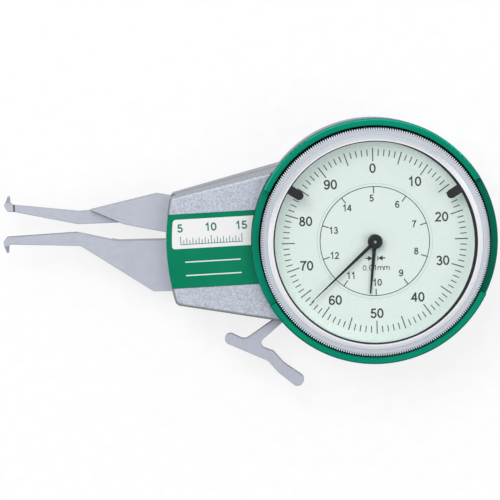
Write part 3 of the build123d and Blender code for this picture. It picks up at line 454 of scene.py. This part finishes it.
# The black line under the crystal's edge is print, even all round; the broader part on the far side
# from the arms is painted shade.
# Its inner edge follows whichever of two circles lies further in. In millimetres.
SPACER_TOP = 20.1
MASK_Z = 20.06
MASK_OUTER_R = 22.56
MASK_INNER_R = 22.22
MASK_CENTRE = (0.06, -0.05)
MASK_SHADE_R = 22.40
MASK_SHIFT = (-0.58, -0.03)   # the second circle's centre, from the first one's


def spacer_paint(name):
    """The ring under the crystal: black along the outer edge of its top, broader on the far side
    from the arms as painted shade, mint elsewhere.
    """
    look = Look(name)
    fine = look.noise(1500, 2, 0.5)
    wall = look.ramp(fine, [(0.3, (0.74, 0.85, 0.81)), (0.7, (0.78, 0.89, 0.85))])
    black = look.ramp(fine, [(0.3, (0.008, 0.008, 0.009)), (0.7, (0.014, 0.014, 0.015))])
    centre = [c * MM for c in MASK_CENTRE]
    shade_centre = [(c + s) * MM for c, s in zip(MASK_CENTRE, MASK_SHIFT)]
    edge = look.either(look.above(look.radius(centre), MASK_INNER_R * MM),
                       look.above(look.radius(shade_centre), MASK_SHADE_R * MM))
    top = look.above(look.along("Z"), (SPACER_TOP - 0.04) * MM)
    look.colour(look.mix(look.both(top, edge), wall, black))
    look.rough(look.range(fine, 0.45, 0.6, 0.3, 0.7))
    look.bump(fine, 0.00001, 0.3)
    return look.material


def printed_ink(name, base, cover):
    """Screen-printed ink, a little uneven: lighter by cover where it is thin."""
    look = Look(name)
    fine = look.noise(5200, 2, 0.6)
    look.colour(look.ramp(fine, [(0.35, base), (0.75, tuple(c + cover for c in base))]))
    look.rough(look.range(fine, 0.4, 0.55, 0.3, 0.7))
    look.bump(fine, 0.000006, 0.3)
    return look.material


GLASS_IOR = 1.45
GLASS_SHINE = 0.35            # part of the full reflection, which would hide the dial
GLASS_GLOSS = (0.9, 0.95, 0.95, 1)
GLASS_CLEAR = (0.992, 0.997, 0.996, 1)


def clear_glass(name):
    """Clear crystal: mostly see-through, with the gloss of its surface and faint smears."""
    look = Look(name)
    smear = look.noise(140, 4, 0.6, (1, 2.5, 1))
    gloss = look.node("ShaderNodeBsdfGlossy")
    gloss.inputs["Color"].default_value = GLASS_GLOSS
    look.link(look.range(smear, 0.02, 0.09, 0.35, 0.7), gloss.inputs["Roughness"])
    through = look.node("ShaderNodeBsdfTransparent")
    through.inputs["Color"].default_value = GLASS_CLEAR
    fresnel = look.node("ShaderNodeFresnel")
    fresnel.inputs["IOR"].default_value = GLASS_IOR
    seen = look.node("ShaderNodeLightPath").outputs["Is Camera Ray"]
    inside = look.node("ShaderNodeNewGeometry").outputs["Backfacing"]
    outside = look.math("SUBTRACT", seen, inside)
    shine = look.math("MULTIPLY", look.both(fresnel.outputs[0], outside), GLASS_SHINE)
    blend = look.node("ShaderNodeMixShader")
    look.link(look.math("MAXIMUM", shine, 0.0), blend.inputs[0])
    look.link(through.outputs[0], blend.inputs[1])
    look.link(gloss.outputs[0], blend.inputs[2])
    look.link(blend.outputs[0], look.output.inputs["Surface"])
    look.tree.nodes.remove(look.shader)
    return look.material


SILVER_LIGHT = (0.600, 0.635, 0.690)
SILVER_DARK = (0.365, 0.395, 0.440)
BACK_LIGHT = (0.58, 0.585, 0.67)
BACK_DARK = (0.42, 0.43, 0.52)
ARM_GREY = (0.497, 0.520, 0.568)
# painted shade for the steep faces of the arms and the lever
ARM_SIDE_SHADE = (0.80, 0.80, 0.82)
PANEL_GREEN = (0.0004, 0.205, 0.100)
MARKER_BLACK = (0.014, 0.013, 0.016)
HAND_BLACK = (0.006, 0.009, 0.010)
CHROME = (0.93, 0.94, 0.97)
STEEL = (0.62, 0.63, 0.66)
PIN_STEEL = (0.55, 0.56, 0.58)
SPRING_STEEL = (0.36, 0.38, 0.44)
PLATE_BRASS = (0.78, 0.60, 0.28)
WHEEL_BRASS = (0.80, 0.63, 0.30)
BRONZE = (0.62, 0.40, 0.22)
SHADE_BEYOND_X = -66 * MM       # painted shade on the fixed arm's upright faces in its thin part, beyond this X
GROOVE_BELOW = 8.0 * MM       # the groove along the movable arm's step is this deep; level faces below this get painted shade


def arm_steel(name, lengthwise, **marks):
    return satin_steel(name, ARM_GREY, 0.40, lengthwise, 0.5, 0.03, ARM_SIDE_SHADE, **marks)


def dress_cad_nodes():
    looks = (
        (cast_metal("cast_front", SILVER_LIGHT, SILVER_DARK, (0.93, 0.93, 0.97)), "front_housing"),
        (cast_metal("cast_back", BACK_LIGHT, BACK_DARK, (0.92, 0.92, 0.96)), "back_cover"),
        (arm_steel("arm_satin", (0.3, 1, 1), groove=GROOVE_BELOW), "movable_arm"),
        (arm_steel("fixed_arm_satin", (0.3, 1, 1), blued=SHADE_BEYOND_X), "fixed_arm"),
        (arm_steel("lever_satin", (0.7, 0.25, 1)), "finger_lever"),
        (ring_plastic("ring_green"), "guard_ring"),
        (moulded("panel_green", PANEL_GREEN, 0.50, 2400, 0.000008, 0.06, 0.06), "name_panel"),
        (turned_metal("bezel_chrome", CHROME, 0.26, metallic=0.52, tint_and_painted_light=bezel_finish), "bezel"),
        (clear_glass("crystal_clear"), "crystal"),
        (dial_enamel("dial_mint"), "dial_plate"),
        (spacer_paint("spacer_two_tone"), "spacer_ring"),
        (moulded("marker_black", MARKER_BLACK, 0.42, 1800, 0.00001, 0.3),
         "marker_left marker_right"),
        (moulded("hand_black", HAND_BLACK, 0.3, 2500, 0.000006, 0.35), "long_hand short_hand"),
        (satin_steel("plate_brass", PLATE_BRASS, 0.3, (1, 0.1, 1)),
         "rear_plate front_plate plate_pillars"),
        (turned_metal("wheel_brass", WHEEL_BRASS, 0.24, 5000),
         "intermediate_wheel counter_drive_gear counter_wheel backlash_wheel hairspring_collet"
         " gear_sector"),
        (turned_metal("bush_bronze", BRONZE, 0.3), "pivot_bush arbor_bushes pivot_washer"),
        (satin_steel("screw_steel", STEEL, 0.28, (1, 0.2, 1), 1.0),
         "cover_screws fixed_arm_screws arm_screws pillar_screws movement_screws"),
        (satin_steel("pin_steel", PIN_STEEL, 0.24, (1, 1, 0.1), 1.0),
         "pivot_pin stop_pins spring_post spring_pin intermediate_arbor centre_arbor"
         " backlash_arbor hairspring_stud"),
        (satin_steel("spring_steel", SPRING_STEEL, 0.3, (1, 1, 0.4), 1.0),
         "pivot_clip return_spring hairspring bezel_snap_ring dial_retaining_ring"),
    )
    for material, names in looks:
        for name in names.split():
            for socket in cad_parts[name].material_slots:
                socket.material = material


# Shapes of the printing. Outlines and their places are in millimetres.

RING_STEPS = 180
MITRE_LIMIT = 0.45            # keeps a sharp corner of a pen line from running far out
STROKE_LIFT = 0.002           # strokes of one numeral differ by this, so that no tops share a plane


def as_mesh(work):
    mesh = bpy.data.meshes.new("printing")
    bmesh.ops.recalc_face_normals(work, faces=work.faces)
    work.to_mesh(mesh)
    work.free()
    return mesh


def piece(name, mesh, material, body):
    mesh.name = name
    mesh.materials.append(material)
    made = bpy.data.objects.new(name, mesh)
    bpy.context.scene.collection.objects.link(made)
    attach(made, body)


def box(x0, x1, y0, y1):
    return [(x0, y0), (x1, y0), (x1, y1), (x0, y1)]


def oval(cx, cy, rx, ry, start=0, end=360, steps=20):
    """Points round an oval. A full one leaves out its last point."""
    count = steps if abs(end - start) == 360 else steps + 1
    turns = [math.radians(start + (end - start) * k / steps) for k in range(count)]
    return [(cx + rx * math.cos(a), cy + ry * math.sin(a)) for a in turns]


def rounded_box(x0, x1, y0, y1, radius, steps=3):
    points = []
    for x, y, start in ((x1 - radius, y0 + radius, -90), (x1 - radius, y1 - radius, 0),
                        (x0 + radius, y1 - radius, 90), (x0 + radius, y0 + radius, 180)):
        points += oval(x, y, radius, radius, start, start + 90, steps)
    return points


def turned_points(points, angle, centre=(0, 0)):
    c, s = math.cos(math.radians(angle)), math.sin(math.radians(angle))
    return [(centre[0] + x * c - y * s, centre[1] + x * s + y * c) for x, y in points]


def bar(r0, r1, width, angle):
    """A radial line from r0 to r1, at an angle in degrees."""
    return turned_points(box(r0, r1, -width / 2, width / 2), angle)


def flat_mesh(outlines, z, thickness):
    """Thin prisms of the given outlines as one mesh."""
    work = bmesh.new()
    for points in outlines:
        low, high = ([work.verts.new((x * MM, y * MM, h * MM)) for x, y in points]
                     for h in (z, z + thickness))
        work.faces.new(low[::-1])
        work.faces.new(high)
        for k in range(len(points)):
            n = (k + 1) % len(points)
            work.faces.new((low[k], low[n], high[n], high[k]))
    return as_mesh(work)


def strip(work, sides, z, thickness, closed):
    """A thin solid strip between two lines, given as pairs of points across it."""
    rows = []
    for left, right in sides:
        rows.append([work.verts.new((x * MM, y * MM, h * MM)) for (x, y), h in
                     ((left, z), (right, z), (right, z + thickness), (left, z + thickness))])
    pairs = list(zip(rows, rows[1:] + rows[:1]))
    for row, after in pairs if closed else pairs[:-1]:
        for j in range(4):
            n = (j + 1) % 4
            work.faces.new((row[j], row[n], after[n], after[j]))
    if not closed:
        work.faces.new(rows[0])
        work.faces.new(rows[-1][::-1])


def pen_sides(points, width, closed):
    """For each point of a line, its two sides at half the width, with mitred corners."""
    sides = []
    count = len(points)
    for k in range(count):
        here = Vector(points[k])
        ways = []
        if closed or k:
            ways.append((here - Vector(points[k - 1])).normalized())
        if closed or k < count - 1:
            ways.append((Vector(points[(k + 1) % count]) - here).normalized())
        along = (ways[0] + ways[-1]).normalized()
        across = Vector((-along.y, along.x))
        reach = width / 2 / max(MITRE_LIMIT, abs(along.dot(ways[0])))
        sides.append((here + across * reach, here - across * reach))
    return sides


def ring_mesh(radius, width, z, thickness):
    work = bmesh.new()
    circle = oval(0, 0, radius, radius, steps=RING_STEPS)
    strip(work, pen_sides(circle, width, True), z, thickness, True)
    return as_mesh(work)


# Plain upright numerals as pen strokes, for a height of 1: strokes as (points, closed), and
# how far each moves the pen on
DIGIT = 0.777
SIX = [(oval(0.395, 0.315, 0.262, 0.252), True),
       ([(0.645, 0.76), (0.60, 0.87), (0.50, 0.93), (0.38, 0.935), (0.25, 0.87),
         (0.165, 0.72), (0.133, 0.52), (0.133, 0.33)], False)]
ARCH = [(0.10, 0.45)] + oval(0.34, 0.45, 0.24, 0.215, 180, 0, 10) + [(0.58, 0.0)]
STROKES = {
    "0": ([(oval(0.388, 0.5, 0.273, 0.44), True)], DIGIT),
    "1": ([([(0.17, 0.735), (0.33, 0.83), (0.457, 0.97), (0.457, 0.0)], False)], DIGIT),
    "2": ([(oval(0.375, 0.695, 0.25, 0.242, 170, -25, 14) + [(0.12, 0.063), (0.70, 0.063)], False)],
          DIGIT),
    "3": ([(oval(0.37, 0.735, 0.225, 0.20, 165, -100, 14), False),
           (oval(0.385, 0.285, 0.27, 0.225, 100, -165, 14), False)], DIGIT),
    "4": ([([(0.515, 0.0), (0.515, 0.99)], False),
           ([(0.515, 0.95), (0.085, 0.295), (0.71, 0.295)], False)], DIGIT),
    "5": ([([(0.66, 0.937), (0.24, 0.937), (0.165, 0.50)], False),
           (oval(0.375, 0.325, 0.275, 0.262, 140, -165, 14), False)], DIGIT),
    "6": (SIX, DIGIT),
    "7": ([([(0.06, 0.937), (0.68, 0.937), (0.50, 0.70), (0.36, 0.40), (0.29, 0.0)], False)],
          DIGIT),
    "8": ([(oval(0.388, 0.745, 0.205, 0.193), True),
           (oval(0.388, 0.285, 0.265, 0.223), True)], DIGIT),
    "9": ([([(DIGIT - x, 1 - y) for x, y in points], closed) for points, closed in SIX], DIGIT),
    ".": ([([(0.19, 0.0), (0.19, 0.12)], False)], 0.39),
    "m": ([([(0.10, 0.0), (0.10, 0.70)], False), (ARCH, False),
           ([(x + 0.48, y) for x, y in ARCH], False)], 1.163),
}


def text_mesh(words, z, thickness, pen):
    """Words as one mesh. Each word is (text, height, x, y, angle, stretch), centred on x, y."""
    work = bmesh.new()
    for text, height, x, y, angle, stretch in words:
        start = -sum(STROKES[c][1] for c in text) / 2
        for c in text:
            strokes, advance = STROKES[c]
            for k, (points, closed) in enumerate(strokes):
                flat = [((start + px) * height * stretch, (py - 0.5) * height)
                        for px, py in points]
                sides = pen_sides(turned_points(flat, angle, (x, y)), pen, closed)
                strip(work, sides, z, thickness + STROKE_LIFT * k, closed)
            start += advance
    return as_mesh(work)


# The dial's printing, in millimetres from its centre
DIAL_TURN = -1.65             # the dial stands turned by this, in degrees
DIAL_TOP = 17.4
INK = 0.03
TICK = (18.92, 20.35, 0.19)   # from, to and width
FIFTH_TICK = (17.70, 20.60, 0.21)
CIRCLE_R = 12.1
CIRCLE_WIDTH = 0.16
CIRCLE_TICK = (10.60, CIRCLE_R, 0.21)
# A faint pale ring just outside the circle: painted reflection of the circle in the crystal
REFLECTION_RING_R = 12.75
REFLECTION_RING_WIDTH = 0.13
OUTER_NUMBERS = {"radius": 15.95, "height": 2.08, "stretch": 0.94}
INNER_NUMBERS = {"radius": 9.2, "height": 1.5, "stretch": 0.9}
OUTER_PEN, INNER_PEN, UNIT_PEN = 0.34, 0.24, 0.15
UNIT_PLACE = (0.15, -5.88)
UNIT_HEIGHT, UNIT_STRETCH = 1.15, 1.05
ARROWS_Y = -3.78              # the two arrows over the unit point at each other
ARROW_TIP, ARROW_NECK, ARROW_HEAD, ARROW_TAIL = 0.62, 0.8, 1.0, 1.6   # the last three from the tip
ARROW_HALF, STEM_HALF = 0.56, 0.12
GAP_LINE_X, GAP_LINE_HALF, GAP_LINE_UP, GAP_LINE_DOWN = 0.55, 0.08, 0.5, 0.55

# How far each numeral sits off its even place
OUTER_NUDGES = ((-0.10, 0.22), (-0.27, 0.07), (-0.27, 0.07), (-0.26, 0.23), (-0.15, 0.23),
                (0.05, -0.11), (0.28, 0.04), (-0.06, -0.11), (-0.01, -0.11), (-0.12, -0.10))
INNER_NUDGES = ((-0.47, 0.36), (-0.24, 0.56), (0.04, 0.71), (0.35, 0.36), (0.23, 0.21),
                (0.30, 0.00), (-0.06, -0.05), (-0.23, -0.10), (-0.34, -0.20), (-0.54, 0.09))


def dial_angle(step, count):
    """The place of a graduation in degrees, clockwise from the top."""
    return 90 + DIAL_TURN - 360 * step / count


def number_words(numbers, nudges, radius, height, stretch):
    words = []
    for k, (number, (dx, dy)) in enumerate(zip(numbers, nudges)):
        a = math.radians(dial_angle(k, len(nudges)))
        x, y = radius * math.cos(a) + dx, radius * math.sin(a) + dy
        words.append((str(number), height, x, y, DIAL_TURN, stretch))
    return words


def arrow_outlines():
    """Two arrows and the two short lines that they point at."""
    outlines = []
    for side in (-1, 1):
        tip, y = ARROW_TIP * side, ARROWS_Y
        neck, head, tail = (tip + d * side for d in (ARROW_NECK, ARROW_HEAD, ARROW_TAIL))
        outlines.append([(tip, y), (head, y + ARROW_HALF), (head, y - ARROW_HALF)])
        outlines.append(box(neck, tail, y + STEM_HALF, y - STEM_HALF))
        line = GAP_LINE_X * side
        outlines.append(box(line - GAP_LINE_HALF, line + GAP_LINE_HALF,
                            y + GAP_LINE_UP, y - GAP_LINE_DOWN))
    return [turned_points(points, DIAL_TURN) for points in outlines]


def mask_mesh():
    """The black ring printed under the crystal, with a broader part of painted shade on the far
    side from the arms.
    """
    work = bmesh.new()
    sides = []
    for a in (2 * math.pi * k / RING_STEPS for k in range(RING_STEPS)):
        c, s = math.cos(a), math.sin(a)
        inner = min(MASK_INNER_R, MASK_SHADE_R + MASK_SHIFT[0] * c + MASK_SHIFT[1] * s)
        sides.append(((inner * c + MASK_CENTRE[0], inner * s + MASK_CENTRE[1]),
                      (MASK_OUTER_R * c, MASK_OUTER_R * s)))
    strip(work, sides, MASK_Z, INK, True)
    return as_mesh(work)


def dial_printing():
    ink = printed_ink("dial_ink", (0.010, 0.018, 0.020), 0.02)
    black = printed_ink("mask_black", (0.007, 0.007, 0.008), 0.004)
    # pale ink for the painted reflection of the circle
    faint = printed_ink("dial_painted_reflection", (0.50, 0.63, 0.60), 0.03)
    ticks = [bar(*(TICK if k % 5 else FIFTH_TICK), dial_angle(k, 100)) for k in range(100)]
    ticks += [bar(*CIRCLE_TICK, dial_angle(k, 10)) for k in range(10)]
    outer = number_words(range(0, 100, 10), OUTER_NUDGES, **OUTER_NUMBERS)
    inner = number_words(range(5, 15), INNER_NUDGES, **INNER_NUMBERS)
    unit_place = turned_points([UNIT_PLACE], DIAL_TURN)[0]
    unit = [("0.01mm", UNIT_HEIGHT, *unit_place, DIAL_TURN, UNIT_STRETCH)]
    for name, mesh, material in (
            ("dial_ticks", flat_mesh(ticks, DIAL_TOP, INK), ink),
            ("dial_circle", ring_mesh(CIRCLE_R, CIRCLE_WIDTH, DIAL_TOP, INK), ink),
            ("crystal_mask", mask_mesh(), black),
            ("dial_reflection_ring", ring_mesh(REFLECTION_RING_R, REFLECTION_RING_WIDTH, DIAL_TOP, INK), faint),
            ("dial_numbers", text_mesh(outer, DIAL_TOP, INK, OUTER_PEN), ink),
            ("dial_small_numbers", text_mesh(inner, DIAL_TOP, INK, INNER_PEN), ink),
            ("dial_unit", text_mesh(unit, DIAL_TOP, INK, UNIT_PEN), ink),
            ("dial_arrows", flat_mesh(arrow_outlines(), DIAL_TOP, INK), ink)):
        piece(name, mesh, material, "bezel_set")


# The panel's printing: a white field with a plain scale, and two plain rules under it
PANEL_TOP = 14.9
FIELD_FRONT_R = 44.9
FIELD_BACK_R = 27.4
FIELD_Y = (0.54, 7.06)
FIELD_CORNER = 0.6
FIELD_INK = 0.02
SCALE_X = (-42.9, -29.3)
SCALE_Y = 1.55
SCALE_BASE_Y = 1.39
SCALE_HALF = 0.08             # half the width of a mark
SCALE_STEPS = 20
LONG_MARK, WHOLE_MARK, HALF_MARK = 1.7, 1.3, 0.85
SCALE_INK = 0.015
SCALE_NUMBERS = {5: 0.0, 10: 0.5, 15: 1.0}    # and how far along the scale they stand
NUMBERS_Y = 5.1
NUMBERS_HEIGHT = 1.75
NUMBERS_PEN = 0.34
RULE_X = (-42.2, -29.8)
RULES_Y = ((-2.6, -2.35), (-5.6, -5.35))
RULE_CORNER = 0.12


def field_outline(low, high, corner, steps=16):
    """Between two arcs about the dial's axis, with the two front corners rounded."""
    front, back = [], []
    for k in range(steps + 1):
        y = low + (high - low) * (1 - math.cos(math.pi * k / steps)) / 2
        short = corner - min(corner, y - low, high - y)
        inset = corner - math.sqrt(corner ** 2 - short ** 2)
        front.append((inset - math.sqrt(FIELD_FRONT_R ** 2 - y ** 2), y))
        back.append((-math.sqrt(FIELD_BACK_R ** 2 - y ** 2), y))
    return back + front[::-1]


def scale_x(part):
    return SCALE_X[0] + (SCALE_X[1] - SCALE_X[0]) * part


def panel_printing():
    white = printed_ink("panel_white", (0.80, 0.79, 0.77), 0.03)
    green = printed_ink("panel_ink", (0.0015, 0.180, 0.105), 0.01)
    marks = []
    for k in range(SCALE_STEPS + 1):
        x = scale_x(k / SCALE_STEPS)
        length = HALF_MARK if k % 2 else WHOLE_MARK if k % 10 else LONG_MARK
        marks.append(box(x - SCALE_HALF, x + SCALE_HALF, SCALE_Y, SCALE_Y + length))
    marks.append(box(SCALE_X[0] - SCALE_HALF, SCALE_X[1] + SCALE_HALF, SCALE_BASE_Y, SCALE_Y))
    numbers = [(str(number), NUMBERS_HEIGHT, scale_x(part), NUMBERS_Y, 0, 1.0)
               for number, part in SCALE_NUMBERS.items()]
    rules = [rounded_box(*RULE_X, *y, RULE_CORNER) for y in RULES_Y]
    on_field = PANEL_TOP + FIELD_INK
    field = field_outline(*FIELD_Y, FIELD_CORNER)
    for name, mesh, material in (
            ("panel_field", flat_mesh([field], PANEL_TOP, FIELD_INK), white),
            ("panel_scale", flat_mesh(marks, on_field, SCALE_INK), green),
            ("panel_numbers", text_mesh(numbers, on_field, SCALE_INK, NUMBERS_PEN), green),
            ("panel_rules", flat_mesh(rules, PANEL_TOP, FIELD_INK), white)):
        piece(name, mesh, material, "gauge_body")


# Floor and light. The floor is pale by its own glow where it is seen, and still takes a shadow.

FLOOR_SIZE = 6.0
FLOOR_Z = -0.02 * MM
FLOOR_STOPS = ((0.3, (0.21, 0.21, 0.21)), (0.7, (0.23, 0.23, 0.23)))
FLOOR_GLOW = 0.76
SKY_STOPS = ((0.0, (0.90, 0.90, 0.92)), (0.45, (0.82, 0.83, 0.87)),
             (0.8, (0.62, 0.63, 0.70)), (1.0, (0.58, 0.59, 0.67)))
SKY_LEVELS = (0.65, 1.05)     # how bright the sky is towards -Y and towards +Y
SKY_SPAN = (-0.8, 0.3)        # the Y of a direction where the change starts and ends
SKY_SEEN = (0.97, 0.97, 0.97)
SKY_STRENGTH = 0.85
LAMPS = (("key", (-0.35, 0.50, 1.00), 6.5), ("fill", (0.60, -0.20, 0.95), 3.0))
LAMP_SIZE = 0.80
LAMP_TARGET = (-0.02, 0, 0.01)


def stage_floor():
    bpy.ops.mesh.primitive_plane_add(size=FLOOR_SIZE, location=(0, 0, FLOOR_Z))
    floor = bpy.context.object
    floor.name = "floor"
    look = Look("floor_white")
    speckle = look.noise(300, 2, 0.5)
    look.colour(look.ramp(speckle, FLOOR_STOPS))
    look.set(Roughness=0.9, Specular_IOR_Level=0.1, Emission_Color=(1, 1, 1, 1))
    path = look.node("ShaderNodeLightPath").outputs
    seen = look.either(look.either(path["Is Camera Ray"], path["Is Glossy Ray"]),
                       path["Is Transmission Ray"])
    look.link(look.both(seen, FLOOR_GLOW), look.shader.inputs["Emission Strength"])
    floor.data.materials.append(look.material)


def sky():
    """A soft light, greyer straight above than near the horizon, and white to the camera."""
    world = bpy.data.worlds.new("studio")
    bpy.context.scene.world = world
    world.use_nodes = True
    nodes = Nodes(world.node_tree)
    _, y, z = nodes.parts(nodes.node("ShaderNodeTexCoord").outputs["Generated"])
    shade = nodes.node("ShaderNodeVectorMath", operation="SCALE")
    nodes.link(nodes.ramp(z, SKY_STOPS), shade.inputs[0])
    nodes.link(nodes.range(y, *SKY_LEVELS, *SKY_SPAN), shade.inputs["Scale"])
    seen = nodes.node("ShaderNodeLightPath").outputs["Is Camera Ray"]
    background = nodes.tree.nodes["Background"]
    nodes.link(nodes.mix(seen, shade.outputs[0], SKY_SEEN), background.inputs["Color"])
    background.inputs["Strength"].default_value = SKY_STRENGTH


def lamp(name, where, power):
    data = bpy.data.lights.new(name, "AREA")
    data.shape = "DISK"
    data.size = LAMP_SIZE
    data.energy = power
    made = bpy.data.objects.new(name, data)
    bpy.context.scene.collection.objects.link(made)
    made.location = where
    aim = Vector(LAMP_TARGET) - Vector(where)
    made.rotation_euler = aim.to_track_quat("-Z", "Y").to_euler()


place_camera()
dress_cad_nodes()
dial_printing()
panel_printing()
stage_floor()
sky()
for name, where, power in LAMPS:
    lamp(name, where, power)
bpy.context.scene.view_settings.view_transform = "Standard"
